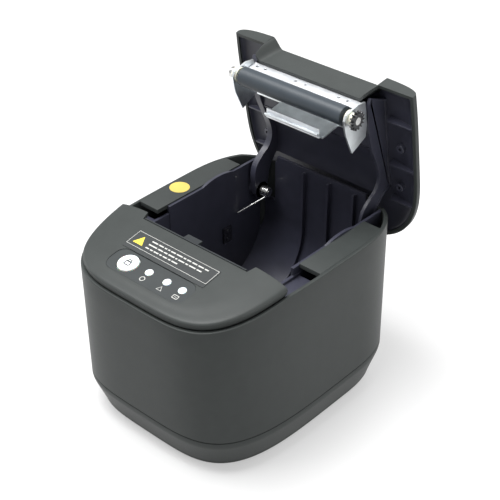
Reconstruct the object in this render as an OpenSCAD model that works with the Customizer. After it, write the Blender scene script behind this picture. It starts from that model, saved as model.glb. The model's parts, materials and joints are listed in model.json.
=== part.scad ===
// Desktop receipt printer for 80 mm paper rolls, with its lid open.
// X is the width (right is +X), Y runs to the rear, Z is up; the origin is the centre of the
// footprint on the surface that the rubber feet stand on.

/* [Case] */
// Half of the case's width at the top edge of the housing
half_w = 73.2; // [72:0.1:75]
// Reach of the front outline from the widest line of the case
front_reach = 123.8; // [122:0.1:125]
// Reach of the rear outline from the widest line of the case
rear_reach = 68.9; // [68:0.1:70]
// Squareness of the front outline, as the power of a superellipse
front_pow = 4.1; // [3.8:0.1:4.4]
// Squareness of the rear outline, as the power of a superellipse
rear_pow = 2.74; // [2.6:0.02:2.9]
// Thickness of the moulded walls
wall = 2.5; // [2:0.1:2.8]
// Height of the parting line between the base and the housing
part_z = 25.6; // [25:0.1:26]
// Height of the housing's top edge behind the front cover
rim_z = 118.5; // [118:0.1:119]

/* [Lid] */
// Angle that the lid stands open from its closed place
open_angle = 80; // [0:1:80]
// Distance of the hinge axis behind the origin
hinge_y = 73.5; // [73:0.1:74]
// Height of the hinge axis
hinge_z = 96.3; // [96:0.1:97]
// Radius of the hinge pins
pin_r = 2.5; // [2.3:0.1:2.6]

/* [Platen] */
// Radius of the rubber roller
roller_r = 6.3; // [6:0.1:6.4]
// Length of the rubber roller
roller_len = 83; // [80:0.5:84]
// Distance of the roller's axis behind the origin with the lid closed
platen_y = -25.6; // [-26:0.1:-25]
// Height of the roller's axis with the lid closed
platen_z = 91.1; // [91:0.1:91.5]

/* [Controls] */
// Diameter of the feed button
button_d = 14.5; // [12:0.5:15]
// Diameter of the three lamps
lamp_d = 5.4; // [4.5:0.1:5.6]

/* [Hidden] */

$fn = 48;
join_y = 27.4;          // the widest line of the case
draft_x = 0.028;        // the sides spread towards the bottom
draft_y = 0.034;        // the front and rear draw in towards the bottom
ring_n = 120;           // points round the case outline
slope = 0.135;          // fall of the housing's top edge under the front cover
deck_rear_y = -35;      // rear edge of the front cover
floor_z = 4.6;          // inside face of the base
gap = 0.3;              // play between neighbouring mouldings

graphite = [0.29, 0.31, 0.31];
liner_black = [0.10, 0.10, 0.13];
steel = [0.75, 0.77, 0.78];
board_green = [0.08, 0.30, 0.18];
port_black = [0.08, 0.08, 0.09];

// ---------- outlines ----------
function power(v, e) = sign(v) * pow(abs(v), 2 / e);
function ring_pts(w, f, r) = [for (i = [0 : ring_n - 1])
    let (t = 360 * i / ring_n, e = sin(t) < 0 ? front_pow : rear_pow)
    [w * power(cos(t), e), join_y + (sin(t) < 0 ? f : r) * power(sin(t), e)]];
function case_ring(z, inset) = let (drop = rim_z - z)
    ring_pts(half_w + draft_x * drop - inset,
             front_reach - draft_y * drop - inset,
             rear_reach - draft_y * drop - inset);

// a thin slice of the case at one height
module slice(z, inset = 0, h = 0.02) {
    translate([0, 0, z]) linear_extrude(h) polygon(case_ring(z, inset));
}
// the case outline drawn straight up between two heights
module prism(z0, z1, inset = 0, at = rim_z) {
    translate([0, 0, z0]) linear_extrude(z1 - z0) polygon(case_ring(at, inset));
}
// a box from one corner to the other
module span(a, b) {
    translate(a) cube(b - a);
}
// the same thing on the right and on the left
module both() {
    children();
    mirror([1, 0, 0]) children();
}
// an outline in the Y-Z plane made solid from x0 to x1
module side(x0, x1) {
    translate([x0, 0, 0]) rotate([90, 0, 90]) linear_extrude(x1 - x0) children();
}
// a cylinder along X
module rod_x(r, x0, x1, y, z) {
    translate([x0, y, z]) rotate([0, 90, 0]) cylinder(r = r, h = x1 - x0);
}
// a rounded rectangle
module round_rect(w, d, r) {
    translate([r - w / 2, r - d / 2]) square([w - 2 * r, d - 2 * r]);
    translate([-w / 2, r - d / 2]) square([w, d - 2 * r]);
    translate([r - w / 2, -d / 2]) square([w - 2 * r, d]);
    for (x = [-1, 1], y = [-1, 1]) translate([x * (w / 2 - r), y * (d / 2 - r)]) circle(r);
}
// everything on the lid is drawn closed and then swung open about the hinge axis
module swing() {
    translate([0, hinge_y, hinge_z]) rotate([-open_angle, 0, 0])
        translate([0, -hinge_y, -hinge_z]) children();
}

// ---------- gears ----------
pressure = 20;
function involute(a) = tan(a) * 180 / PI - a;
function half_tooth(m, n, r, play) = let (rp = m * n / 2, rb = rp * cos(pressure))
    90 / n - play / rp * 90 / PI + involute(pressure) - involute(acos(min(1, rb / r)));
function polar(r, a) = [r * cos(a), r * sin(a)];
function tooth(m, n, play) = let (rp = m * n / 2, rb = rp * cos(pressure), ra = rp + m,
    rf = rp - 1.25 * m, r0 = max(rb, rf), steps = 4,
    rs = concat(rf < rb ? [rf] : [], [for (i = [0 : steps]) r0 + (ra - r0) * i / steps]))
    concat([for (r = rs) polar(r, -half_tooth(m, n, max(r, rb), play))],
           [for (i = [len(rs) - 1 : -1 : 0]) polar(rs[i], half_tooth(m, n, max(rs[i], rb), play))]);
module gear(m, n, play = 0.25) {
    polygon([for (i = [0 : n - 1], p = tooth(m, n, play))
        let (a = 360 * i / n) [p.x * cos(a) - p.y * sin(a), p.x * sin(a) + p.y * cos(a)]]);
}

// ---------- base ----------
base_low_z = 2.2;       // underside of the base tray
base_step_z = 22;       // where the skirt starts to draw in
base_inset = 6.6;       // how far the skirt has drawn in at its foot
bay_recess = [46, 76, 10, 40];      // connector recess: half width, depth plane, floor, roof
foot_spots = [[-46, -58], [46, -58], [-46, 66], [46, 66]];
screw_spots = [[-58, -34], [58, -34], [-58, 50], [58, 50]];

module recess_cut(z0, z1) {
    span([-bay_recess[0], bay_recess[1], z0], [bay_recess[0], 110, z1]);
}
module base_tray() color(graphite) {
    difference() {
        hull() {
            slice(part_z - 0.02);
            slice(base_step_z);
            slice(base_low_z, base_inset);
        }
        hull() {
            slice(part_z + 0.1, wall);
            slice(base_step_z, wall);
            slice(floor_z, base_inset + wall - 0.3);
        }
        recess_cut(bay_recess[2], 30);
        for (p = foot_spots) translate([p.x, p.y, 0]) cylinder(r = 8.1, h = 3.4);
        for (p = screw_spots) translate([p.x, p.y, 0]) {
            cylinder(r = 1.6, h = 12);
            cylinder(r = 3.4, h = 3.2);
        }
    }
    // walls and floor of the connector recess
    difference() {
        union() {
            both() span([bay_recess[0], 71, 4], [bay_recess[0] + 2, 88, part_z]);
            span([-bay_recess[0], 73.5, 4], [bay_recess[0], 92, bay_recess[2]]);
        }
        difference() {
            span([-80, 60, 0], [80, 120, 40]);
            hull() {
                slice(part_z + 0.1, 0.6);
                slice(floor_z - 1, base_inset + 0.6);
            }
        }
    }
    // posts under the mechanism and the main board
    for (x = [-40, 40], y = [-58, -20]) translate([x, y, floor_z - 0.4])
        cylinder(r = 4, h = 44.3 - floor_z + 0.4);
    for (x = [-52, 52], y = [-4, 60]) translate([x, y, floor_z - 0.4])
        cylinder(r = 3, h = 14 - floor_z + 0.4);
    for (p = screw_spots) translate([p.x, p.y, 0]) difference() {
        translate([0, 0, floor_z - 0.4]) cylinder(r = 4.2, h = 20);
        cylinder(r = 1.6, h = 30);
    }
}
module rubber_feet() color([0.06, 0.06, 0.06])
    for (p = foot_spots) translate([p.x, p.y, 0]) cylinder(r = 8, h = 3.4);
module base_screws() color(steel)
    for (p = screw_spots) translate([p.x, p.y, 1]) {
        difference() {
            cylinder(r = 3, h = 2.2);
            translate([-2, -0.4, -1]) cube([4, 0.8, 1.8]);
            translate([-0.4, -2, -1]) cube([0.8, 4, 1.8]);
        }
        translate([0, 0, 2.2]) cylinder(r = 1.5, h = 16);
    }

// ---------- housing ----------
rear_rim = [74, 118.2];   // behind this point the rim falls, so that the lid can swing down past it
rear_rim_fall = 0.2;
arm_notch = [43.5, 51.5, 113];  // gaps in the rear rim for the lid's arms: from, to, height
rail_left = [-19, 61];  // front and rear ends of the left rail
rail_right = [-4.6, 60];
rail_x = 54;            // inner edge of both rails
module rim_profile() {
    polygon([[-110, rim_z + slope * (-110 - deck_rear_y)], [deck_rear_y, rim_z], [rear_rim.x, rim_z],
        rear_rim, [110, rear_rim.y - rear_rim_fall * (110 - rear_rim.x)], [110, 150], [-110, 150]]);
}
module main_housing() color(graphite) {
    difference() {
        hull() {
            slice(part_z + gap);
            slice(rim_z + 1);
        }
        hull() {
            slice(part_z - 1, wall);
            slice(rim_z + 2, wall);
        }
        side(-90, 90) rim_profile();
        both() span([arm_notch[0], 76, arm_notch[2]], [arm_notch[1], 100, 130]);
        recess_cut(20, bay_recess[3]);
    }
    // flat rails on both sides of the paper bay
    difference() {
        translate([0, 0, rim_z - 3]) linear_extrude(3) intersection() {
            polygon(case_ring(rim_z, wall - 0.2));
            union() {
                translate([-90, rail_left[0]]) square([90 - rail_x, rail_left[1] - rail_left[0]]);
                translate([rail_x, rail_right[0]]) square([90 - rail_x, rail_right[1] - rail_right[0]]);
            }
        }
        // seat of the round sticker
        translate([-63.5, sticker_y, rim_z - 0.2]) cylinder(r = sticker_r, h = 1);
    }
    // roof and cheeks of the connector recess
    difference() {
        union() {
            span([-bay_recess[0] - 2, 74, bay_recess[3]], [bay_recess[0] + 2, 94, bay_recess[3] + 2]);
            both() span([bay_recess[0], 74, part_z + gap], [bay_recess[0] + 2, 94, bay_recess[3] + 1]);
        }
        difference() {
            span([-80, 60, 0], [80, 130, 60]);
            hull() {
                slice(part_z - 1, 0.6);
                slice(60, 0.6);
            }
        }
    }
}
sticker_r = 7;
sticker_y = 11;
module blank_sticker() color([0.85, 0.68, 0.25])
    translate([-63.5, sticker_y, rim_z - 0.2]) cylinder(r = sticker_r - 0.1, h = 0.35);

// ---------- front cover ----------
// Its top falls towards the front and rounds down to a vertical band above a shadow gap.
crown_z = 126.64;       // height of the top at the paper exit
crown_slope = 0.185;
exit_y = -41;           // rear edge of the cover at the paper exit
exit_half = 44;
function crown_at(y) = crown_z + crown_slope * (y - exit_y);
function rim_at(y) = rim_z + slope * (y - deck_rear_y);

// the cover's outline at one level, laid on a sloping plane through the rear edge
module cover_layer(inset_x, inset_y, z_rear, tilt) {
    translate([0, deck_rear_y, z_rear]) rotate([atan(tilt), 0, 0]) linear_extrude(0.05)
        intersection() {
            polygon([for (p = case_ring(rim_z, 0)) [p.x * (1 - inset_x / half_w),
                (p.y - join_y) * (1 - inset_y / front_reach) + join_y - deck_rear_y]]);
            translate([-100, -120]) square([200, 120]);
        }
}
module cover_body(shrink, drop) {
    hull() {
        cover_layer(0.9 + shrink, 0.9 + shrink, rim_z + 0.9 - drop * 3, slope);
        cover_layer(0.9 + shrink, 0.9 + shrink, rim_z + 3.4 - drop, slope);
        cover_layer(3.0 + shrink, 3.2 + shrink, rim_z + 5.4 - drop, slope + 0.01);
        cover_layer(8.5 + shrink, 7.0 + shrink, rim_z + 7.2 - drop, slope + 0.025);
        cover_layer(17 + shrink, 10 + shrink, rim_z + 8.5 - drop, slope + 0.04);
        cover_layer(26 + shrink, 14 + shrink, rim_z + 9.2 - drop, crown_slope);
    }
}
module notch_outline(grow) {
    polygon([[-exit_half - grow, exit_y - grow], [exit_half + grow, exit_y - grow],
        [47 + grow, deck_rear_y + 4], [-47 - grow, deck_rear_y + 4]]);
}
panel_x = -3;           // centre and size of the recessed control panel
panel_y = -75.3;
panel_size = [66, 19];
module on_deck(x, y) {
    translate([x, y, crown_at(y)]) rotate([atan(crown_slope), 0, 0]) children();
}
module front_cover() color(graphite) {
    difference() {
        cover_body(0, 0);
        cover_body(2.4, 2.4);
        translate([0, 0, 100]) linear_extrude(40) notch_outline(0);
        // seat of the control panel
        on_deck(panel_x, panel_y) translate([0, 0, -1.6]) linear_extrude(5)
            round_rect(panel_size.x, panel_size.y, 7);
        on_deck(panel_x, panel_y) translate([0, 0, -6]) linear_extrude(9)
            round_rect(panel_size.x - 4, panel_size.y - 4, 5);
    }
    // posts that carry the panel board
    for (x = [-34.5, 34.5]) on_deck(panel_x + x, panel_y - 1.5) translate([0, 0, 1.4 - board_drop])
        cylinder(r = 2, h = board_drop - 3.2);
    // skirt that locates the cover inside the housing
    difference() {
        intersection() {
            prism(rim_z - 22, rim_z + 3, wall + 0.8);
            side(-90, 90) polygon([[-100, rim_at(-100) - 3], [deck_rear_y, rim_at(deck_rear_y) - 3],
                [deck_rear_y, rim_z + 2.2], [-100, rim_at(-100) + 2.2]]);
        }
        prism(rim_z - 30, rim_z + 10, wall + 2.6);
        span([-90, deck_rear_y, 60], [90, 110, 140]);
    }
}
module exit_trim() color([0.26, 0.28, 0.29]) {
    cz = crown_at(exit_y);
    side(-exit_half + 1, exit_half - 1) polygon([[exit_y - 3.4, cz - 4.2], [exit_y + 1.2, cz - 4.2],
        [exit_y + 1.2, cz + 0.5], [exit_y + 0.1, cz + 0.5], [exit_y + 0.1, cz - 3.1],
        [exit_y - 3.4, cz - 3.1]]);
    // tab that steers the paper's edge
    span([-11, exit_y + 0.6, cz - 2.4], [1, exit_y + 7, cz - 0.9]);
}
module panel_holes() {
    translate([button_x - panel_x, 0]) circle(r = button_d / 2 + 0.3);
    for (x = lamp_x) translate([x - panel_x, 1.2]) circle(r = lamp_d / 2 + 0.05);
}
button_x = -22;
lamp_x = [-5, 10, 22.8];
module control_panel() color([0.22, 0.24, 0.25])
    on_deck(panel_x, panel_y) translate([0, 0, -1.55]) linear_extrude(1.2) difference() {
        round_rect(panel_size.x - 0.3, panel_size.y - 0.3, 6.8);
        panel_holes();
    }
module feed_button() color([0.93, 0.93, 0.92])
    on_deck(button_x, panel_y) {
        translate([0, 0, -2.6]) cylinder(r = button_d / 2, h = 3.1);
        translate([0, 0, -4.2]) cylinder(r = button_d / 2 + 0.8, h = 1.1);
        translate([0, 0, -3.2]) cylinder(r = button_d / 2 - 1, h = 1);
        translate([0, 0, -5.2]) cylinder(r = 2, h = 2);
    }
board_drop = 8.4;       // depth of the panel board under the cover's top
module light_pipes() color([0.97, 0.97, 0.96])
    for (x = lamp_x) on_deck(x, panel_y + 1.2) {
        translate([0, 0, -board_drop + 2.6]) cylinder(r = 1.8, h = board_drop - 3);
        translate([0, 0, -2.2]) cylinder(r = lamp_d / 2, h = 2.5);
    }
module panel_board() color(board_green)
    on_deck(panel_x, panel_y) {
        translate([-37, -8.5, -board_drop]) cube([74, 14.5, 1.4]);
        translate([button_x - panel_x - 3, -3, -board_drop + 1.4]) cube([6, 6, 0.5]);
        for (x = lamp_x) translate([x - panel_x - 1.6, -0.4, -board_drop + 1.4]) cube([3.2, 3.2, 1.2]);
    }
label_y = -57.8;
label_size = [69, 16.4];
module front_label() color([0.16, 0.17, 0.18])
    on_deck(-3, label_y) translate([0, 0, 0.02]) linear_extrude(0.2)
        round_rect(label_size.x, label_size.y, 0.6);

// ---------- paper bay ----------
bay_r = 45;             // round floor that the paper roll rests in
bay_c = [37, 73];       // its axis
bay_half = 52;          // half width inside
bay_front_z = 74;       // top of the front wall
cheek_x = 52.6;         // inner faces of the cheeks beside the mechanism
module bay_shape(grow, top) {
    translate(bay_c) circle(r = bay_r + grow, $fn = 96);
    translate([bay_c.x - bay_r - grow, bay_c.y]) square([2 * (bay_r + grow), top - bay_c.y]);
}
module paper_bay() color(liner_black) {
    difference() {
        union() {
            intersection() {
                side(-bay_half - 2, bay_half + 2) bay_shape(2, rim_z - 1);
                prism(20, 130, wall + 0.6, 70);
            }
            // the rear wall stands a little above the rim between the lid's arms
            span([-38.5, 82, 90], [38.5, 84, 121.6]);
            // cheeks beside the printing mechanism
            both() span([cheek_x, -33, 60], [cheek_x + 2, 5, 112]);
        }
        side(-bay_half, bay_half) bay_shape(0, 140);
        span([-bay_half, -40, bay_front_z], [bay_half, 0, 140]);
        // ways out for the lid's arms
        both() span([40, 78, 86], [bay_half + 0.01, 92, 140]);
        both() rod_x(pin_r, 40, 60, hinge_y, hinge_z);
    }
    // ribs that the paper roll slides on
    for (x = [-13, 8.5, 30]) intersection() {
        side(x - 0.9, x + 0.9) difference() {
            bay_shape(0.5, 119);
            bay_shape(-3, 140);
        }
        side(-60, 60) polygon([[37, 10], [90, 10], [90, 117], [81, 119], [70, 119], [44, 60]]);
    }
    // bosses that carry the hinge pins
    both() difference() {
        rod_x(6, 50, bay_half + 0.5, hinge_y, hinge_z);
        rod_x(pin_r, 40, 60, hinge_y, hinge_z);
    }
    // ledges of the dark wells in front of the rails
    span([cheek_x, -33, 108], [66, rail_right[0] - 0.1, 110]);
    span([-66, -33, 108], [-cheek_x, rail_left[0] - 0.1, 110]);
    both() span([bay_half + 1, rail_left[1] + 0.1, 108], [60, 70, 110]);
}
sensor_y = 44;
module paper_sensor() color([0.15, 0.15, 0.17]) {
    span([-bay_half, sensor_y - 4, 64], [-bay_half + 1.6, sensor_y + 4, 76]);
    for (z = [67, 73]) rod_x(1.5, -bay_half + 1.6, -bay_half + 2.2, sensor_y, z);
}
arm_x = [45, 49.5];     // inner and outer faces of the lid's arms
module hinge_pins() color(steel)
    both() {
        rod_x(pin_r, arm_x[0] - 0.5, 58, hinge_y, hinge_z);
        rod_x(4, arm_x[0] - 1.8, arm_x[0] - 0.5, hinge_y, hinge_z);
    }
module lid_spring() color(steel) {
    for (i = [0 : 3]) translate([-arm_x[0] + 2.5 + i * 1.25, hinge_y, hinge_z]) rotate([0, 90, 0])
        rotate_extrude($fn = 40) translate([3.2, 0]) circle(r = 0.66, $fn = 16);
    rod_x(2.3, -arm_x[0] + 1.8, -arm_x[0] + 7.4, hinge_y, hinge_z);
    // leg that rests against the bay's side wall
    leg_from = [-39.6, hinge_y - 1.2, hinge_z - 2.9];
    leg_to = [-bay_half + 0.8, 55, 83];
    d = leg_to - leg_from;
    translate(leg_from) rotate([0, acos(d.z / norm(d)), atan2(d.y, d.x)])
        cylinder(r = 0.6, h = norm(d), $fn = 16);
}

// ---------- printing mechanism ----------
frame_x = [46.9, 48.4]; // faces of the steel side plates
idler = [-40, 80];
pinion = [-49, 67.75];
gear_m = 0.8;
idler_n = 26;
pinion_n = 12;
gear_x = [49.3, 51.7];
mesh_angle = atan2(pinion.y - idler.y, pinion.x - idler.x);
module mechanism_frame() color([0.35, 0.36, 0.38]) {
    both() difference() {
        side(frame_x[0], frame_x[1]) difference() {
            polygon([[-72, 50], [-64, 44.3], [-14, 44.3], [-12, 60], [-16, 97], [-31, 97],
                [-31, 104], [-72, 104]]);
            translate([platen_y, platen_z]) circle(r = 4.4);
            translate([platen_y - 4.4, platen_z]) square([8.8, 20]);
        }
        rod_x(2.6, 40, 60, pinion.x, pinion.y);
        rod_x(2, 40, 60, idler.x, idler.y);
    }
    span([-frame_x[1], -64, 44.3], [frame_x[1], -14, 45.8]);
    // bar that backs the head's springs
    span([-frame_x[0] - 0.2, -56, 86], [frame_x[0] + 0.2, -54.4, 96.5]);
}
module paper_guide() color(liner_black)
    side(-46.6, 46.6) polygon([[-31, 66], [-29, 66], [-28, 80], [-10.6, 73.4], [-10.6, 75.2],
        [-28, 82.2], [-31, 82.2]]);
head_y = platen_y - roller_r - 0.3;
module thermal_head() color([0.80, 0.80, 0.78]) {
    span([-42, head_y - 1.6, 84.5], [42, head_y, 96.8]);
    // glazed heater line
    rod_x(0.4, -40, 40, head_y - 0.3, platen_z);
}
module head_heat_sink() color([0.62, 0.64, 0.66])
    difference() {
        union() {
            span([-43, head_y - 5.6, 84], [43, head_y - 1.6, 96.8]);
            for (i = [0 : 3]) span([-43, head_y - 9.6, 84 + i * 3.7], [43, head_y - 5.5, 85.5 + i * 3.7]);
            for (x = [-24, 24]) translate([x, head_y - 10.2, 91]) rotate([-90, 0, 0])
                cylinder(r = 4.6, h = 5);
        }
        for (x = [-24, 24]) translate([x, head_y - 11, 91]) rotate([-90, 0, 0]) cylinder(r = 3.3, h = 4.6);
    }
module head_springs() color(steel)
    for (x = [-24, 24]) {
        for (i = [0 : 5]) translate([x, -53.8 + i * 2.35, 91]) rotate([-90, 0, 0])
            rotate_extrude($fn = 32) translate([2.4, 0]) circle(r = 0.5, $fn = 14);
        for (a = [45, 225]) translate([x + 2.4 * cos(a), -54.4, 91 + 2.4 * sin(a)]) rotate([-90, 0, 0])
            cylinder(r = 0.4, h = 12.3, $fn = 16);
    }
module feed_motor() color([0.25, 0.26, 0.28]) {
    rod_x(15, 24, 44, pinion.x, pinion.y);
    rod_x(5, 44, 45.4, pinion.x, pinion.y);
    side(45.4, frame_x[0]) union() {
        translate(pinion) circle(r = 13);
        translate([pinion.x - 3, pinion.y - 20]) square([6, 40 - 20]);
    }
    rod_x(1.2, frame_x[0], 52, pinion.x, pinion.y);
}
module motor_pinion() color([0.85, 0.70, 0.35])
    side(gear_x[0], gear_x[1]) translate(pinion) difference() {
        rotate(mesh_angle + 180 + 180 / pinion_n) gear(gear_m, pinion_n);
        circle(r = 1.25);
    }
module idler_gear() color([0.92, 0.92, 0.90])
    side(gear_x[0], gear_x[1]) translate(idler) difference() {
        rotate(mesh_angle) gear(gear_m, idler_n);
        circle(r = 2.05);
    }
module idler_axle() color(steel) {
    rod_x(2, 45.4, 51.9, idler.x, idler.y);
    rod_x(3, 51.9, 52.4, idler.x, idler.y);
}

// ---------- cutter ----------
blade_z = 98.3;
blade_t = 0.6;
rack_m = 1;
rack_x = 18;            // pitch line of the rack
cut_pinion_n = 12;
cut_pinion = [rack_x + rack_m * cut_pinion_n / 2, -57];
rack_z = [100.7, 103.4];
module cutter_frame() color([0.55, 0.57, 0.58]) {
    span([-46.4, -72, 97.3], [46.4, -34.5, 98]);
    difference() {
        span([-46.4, -72, 99.2], [46.4, -31.5, 100.2]);
        span([12, -72.1, 99], [19.4, -36, 101]);
    }
    both() span([43.6, -72, 98], [46.4, -34.5, 99.2]);
    // bridge that carries the cutter motor
    difference() {
        union() {
            span([10, -70, 104.2], [38, -44, 105.2]);
            for (x = [10, 36.8], y = [-70, -46]) span([x, y, 100.2], [x + 1.2, y + 2, 104.4]);
        }
        translate([cut_pinion.x, cut_pinion.y, 100]) cylinder(r = 3, h = 10);
    }
}
module cutter_blade() color(steel) {
    translate([0, 0, blade_z]) linear_extrude(blade_t) difference() {
        polygon([[-43, -66], [43, -66], [43, -33.5], [0, -38.5], [-43, -33.5]]);
        for (x = [-26, 26]) translate([x, -54]) circle(r = 4);
    }
    span([13, -71.8, blade_z], [16.7, -48, rack_z[0] + 0.1]);
    translate([0, 0, rack_z[0]]) linear_extrude(rack_z[1] - rack_z[0]) union() {
        translate([13, -71.8]) square([3.75, 23.8]);
        for (i = [-5 : 2]) translate([rack_x, cut_pinion.y + (i + 0.5) * PI * rack_m])
            polygon([[-1.3, -1.15], [-1.3, 1.15], [1, 0.32], [1, -0.32]]);
    }
}
module cutter_pinion() color([0.85, 0.70, 0.35])
    translate([cut_pinion.x, cut_pinion.y, rack_z[0] + 0.1]) linear_extrude(2.5) difference() {
        rotate(180) gear(rack_m, cut_pinion_n, 0.3);
        circle(r = 1.55);
    }
module cutter_motor() color([0.70, 0.71, 0.72])
    translate([cut_pinion.x, cut_pinion.y, 0]) {
        translate([0, 0, 105.2]) cylinder(r = 10, h = 8.2);
        translate([0, 0, 101]) cylinder(r = 1.5, h = 4.3);
    }

// ---------- electronics ----------
board_z = 14;
board_top = board_z + 1.6;
module main_board() color(board_green) {
    difference() {
        span([-58, -10, board_z], [58, 70, board_top]);
        for (p = screw_spots) translate([p.x, p.y, 0]) cylinder(r = 5, h = 30);
    }
    // chips, capacitors and a cable header
    span([-20, 12, board_top], [-4, 28, board_top + 1.6]);
    span([12, 6, board_top], [24, 18, board_top + 1.4]);
    for (x = [34, 44]) translate([x, -2, board_top]) cylinder(r = 4, h = 9);
    span([-44, -6, board_top], [-26, -1, board_top + 6]);
}
panel_plane = [74, 76];
inlet_x = -34;
usb_x = -15;
net_x = 4;
drawer_x = 22;
rocker_x = 37.5;
rocker_z = 25;
module rear_panel() color(liner_black)
    difference() {
        span([-bay_recess[0], panel_plane[0], bay_recess[2]], [bay_recess[0], panel_plane[1], bay_recess[3]]);
        translate([inlet_x, 70, board_top + 6]) rotate([-90, 0, 0]) cylinder(r = 6, h = 10);
        span([usb_x - 6, 70, board_top], [usb_x + 6, 80, board_top + 11]);
        span([net_x - 8, 70, board_top], [net_x + 8, 80, board_top + 13.5]);
        span([drawer_x - 7, 70, board_top], [drawer_x + 7, 80, board_top + 11.5]);
        span([rocker_x - 5.5, 70, rocker_z - 8], [rocker_x + 5.5, 80, rocker_z + 8]);
    }
module power_inlet() color(port_black) {
    difference() {
        union() {
            span([inlet_x - 6, 62, board_top], [inlet_x + 6, 73.5, board_top + 12]);
            translate([inlet_x, 73, board_top + 6]) rotate([-90, 0, 0]) cylinder(r = 5.9, h = 4);
        }
        translate([inlet_x, 66, board_top + 6]) rotate([-90, 0, 0]) cylinder(r = 4.6, h = 20);
    }
    for (a = [30, 150, 270]) translate([inlet_x + 2.4 * cos(a), 65, board_top + 6 + 2.4 * sin(a)])
        rotate([-90, 0, 0]) cylinder(r = 0.5, h = 9);
}
// a square metal-clad socket: outer width, height, depth and the opening's size
module socket(x, w, h, back, open_w, open_h) {
    difference() {
        span([x - w / 2, back, board_top], [x + w / 2, 76.6, board_top + h]);
        span([x - open_w / 2, back + 3, board_top + (h - open_h) / 2],
             [x + open_w / 2, 80, board_top + (h + open_h) / 2]);
    }
}
module usb_port() color(steel) {
    socket(usb_x, 11.9, 10.9, 62, 9, 8.2);
    span([usb_x - 2.6, 64.8, board_top + 4.2], [usb_x + 2.6, 73.5, board_top + 6.8]);
}
module network_port() color(steel)
    socket(net_x, 15.9, 13.4, 58, 12, 9.4);
module drawer_port() color(port_black)
    socket(drawer_x, 13.9, 11.4, 61, 10, 7.4);
module rocker_frame() color(port_black)
    difference() {
        union() {
            span([rocker_x - 5.4, 64, rocker_z - 7.9], [rocker_x + 5.4, 76, rocker_z + 7.9]);
            span([rocker_x - 7, 76, rocker_z - 9.2], [rocker_x + 7, 77.4, rocker_z + 9.2]);
        }
        span([rocker_x - 4.3, 66, rocker_z - 6.9], [rocker_x + 4.3, 80, rocker_z + 6.9]);
        rod_x(1.25, rocker_x - 5, rocker_x + 5, rocker_pivot_y, rocker_z);
    }
rocker_pivot_y = 74;
rocker_tilt = 8;
module power_rocker() color([0.10, 0.10, 0.11])
    translate([0, rocker_pivot_y, rocker_z]) rotate([-rocker_tilt, 0, 0]) {
        side(rocker_x - 3.9, rocker_x + 3.9) polygon([[-2.6, -2.2], [2.6, -6], [4.9, -6], [3.9, 0],
            [4.9, 6], [2.6, 6], [-2.6, 2.2]]);
        rod_x(1.2, rocker_x - 4.9, rocker_x + 4.9, 0, 0);
    }

// ---------- lid ----------
lid_front_y = -33.8;    // front edge of the wings with the lid closed
lid_low_z = rim_z + 0.4;
lid_exit_y = -25.7;     // front edge over the paper exit
lid_exit_half = 39.5;
lid_top_z = 128.2;
// the crown: how far in from the edge, and how far below the top
crown_steps = [[0, 9.3], [0, 5.9], [2.2, 3.6], [8, 1.6], [17, 0.5], [29, 0]];
// an outline in the X-Z plane made solid from y0 to y1
module front(y0, y1) {
    translate([0, y1, 0]) rotate([90, 0, 0]) linear_extrude(y1 - y0) children();
}
// the outside of the lid: a short upright rim under a soft crown
module lid_dome(shrink, front_inset) {
    reach = join_y + rear_reach - shrink;
    low = lid_low_z - (shrink > 0 ? 2 : 0);
    top = lid_top_z - shrink;
    lift = function(k) k == 0 ? low : top - crown_steps[k].y;
    intersection() {
        translate([0, 0, low]) linear_extrude(20)
            polygon(ring_pts(half_w - shrink, front_reach, rear_reach - shrink));
        side(-90, 90) polygon(concat([[lid_front_y + front_inset, low], [lid_front_y + front_inset, top]],
            [for (k = [5 : -1 : 0]) [reach - crown_steps[k].x * 1.1, lift(k)]]));
        front(-60, 120) polygon(concat(
            [for (k = [0 : 5]) [half_w - shrink - crown_steps[k].x, lift(k)]],
            [for (k = [5 : -1 : 0]) [crown_steps[k].x + shrink - half_w, lift(k)]]));
    }
}
module exit_outline(grow) {
    polygon([[-46.7 - grow, lid_front_y - 5], [46.7 + grow, lid_front_y - 5],
        [46.7 + grow, lid_front_y], [lid_exit_half + grow, lid_exit_y + grow],
        [-lid_exit_half - grow, lid_exit_y + grow], [-46.7 - grow, lid_front_y]]);
}
module lid_cover() color(graphite) swing() {
    difference() {
        lid_dome(0, 0);
        lid_dome(2.4, 2.2);
        translate([0, 0, 100]) linear_extrude(40) exit_outline(0);
    }
    // wall behind the paper exit
    side(-42.5, 42.5) polygon([[-25.7, 127.9], [-29.1, 106.6], [-27, 106.6], [-22.9, 126.6],
        [-22.9, 127.9]]);
    // slanted cheeks between the wings and that wall
    both() hull() {
        span([39.4, -27.5, 112], [40.6, -25.4, 127.7]);
        span([46.7, -33.6, 119.4], [48.2, -31.8, 127.3]);
    }
    // short ribs in the wing pockets
    both() for (y = [-8, 26, 55]) span([49.6, y - 0.8, 119.4], [rib_reach(y), y + 0.8, 124.4]);
}
function rib_reach(y) = half_w * pow(1 - pow((y > join_y ? (y - join_y) / rear_reach : 0), rear_pow),
    1 / rear_pow) - 1.8;

liner_top = 125.3;
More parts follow.
